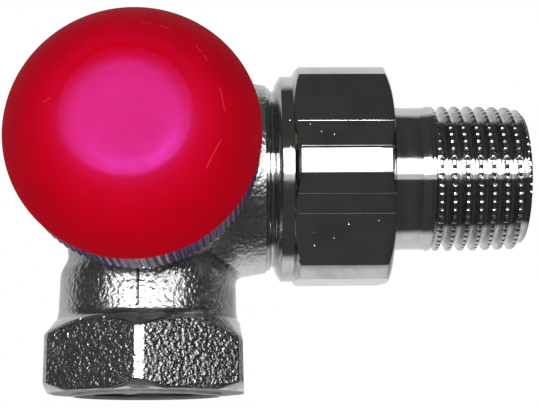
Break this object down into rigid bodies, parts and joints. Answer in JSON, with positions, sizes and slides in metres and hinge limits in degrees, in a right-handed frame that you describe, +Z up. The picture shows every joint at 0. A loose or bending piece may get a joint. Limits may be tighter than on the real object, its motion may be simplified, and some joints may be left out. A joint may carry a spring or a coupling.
{
  "type": "three-axis radiator valve",
  "caption": "Nickel-plated three-axis radiator valve: female inlet below, union tail to one side, and a red screw cap with a fluted grip ring on the head at the front.",
  "frame": {"origin": "centre of the inlet's mouth, on the plane of its raised ring", "axes": "+X along the outlet towards the tail's end, -Y along the head towards the cap's top, +Z up the inlet's axis from its mouth"},
  "size_m": [0.0694, 0.0536, 0.0469],
  "materials": {
    "plated_casting": "nickel plating over a blasted brass casting, with a coarse sparkle",
    "plated_turned": "bright nickel plating over turned brass",
    "brass_turned": "plain turned brass",
    "stainless": "bright stainless steel",
    "seal_rubber": "smooth black rubber",
    "bush_plastic": "natural plastic",
    "red_plastic": "glossy deep red plastic",
    "violet_plastic": "satin dark violet-grey plastic"
  },
  "bodies": {
    "valve_body": {"valve_body": "plated_casting", "insert_housing": "brass_turned", "insert_o_ring": "seal_rubber", "guide_bush": "bush_plastic", "gland_nut": "brass_turned", "gland_o_ring": "seal_rubber", "return_spring": "stainless"},
    "stem": {"spindle": "brass_turned", "pressure_pin": "stainless", "spring_plate": "stainless", "spindle_clip": "stainless", "valve_plate": "brass_turned", "valve_seal": "seal_rubber", "seal_washer": "stainless", "stud_nut": "brass_turned"},
    "cap": {"grip_ring": "violet_plastic", "cap_shell": "red_plastic"},
    "tail": {"union_tail": "plated_turned", "tail_o_ring": "seal_rubber"},
    "nut": {"union_nut": "plated_turned"}
  },
  "joints": [
    {"name": "stem_slide", "type": "slide", "parent": "valve_body", "child": "stem", "axis": [0, 1, 0], "range_m": [-0.0015, 0.001], "deforming": ["return_spring"]},
    {"name": "cap_turn", "type": "hinge", "parent": "stem", "child": "cap", "pos_m": [0, -0.028, 0.031], "axis": [0, 1, 0], "range_deg": [-360, 240]},
    {"name": "tail_slide", "type": "slide", "parent": "valve_body", "child": "tail", "axis": [1, 0, 0], "range_m": [0, 0.00907]},
    {"name": "nut_turn", "type": "hinge", "parent": "tail", "child": "nut", "pos_m": [0.026, 0, 0.031], "axis": [1, 0, 0], "range_deg": [0, 1800]}
  ],
  "couplings": [
    {"joint": "cap_turn", "follows": "stem_slide", "rad_per_m": 4188.8},
    {"joint": "nut_turn", "follows": "tail_slide", "rad_per_m": 3463.7}
  ]
}
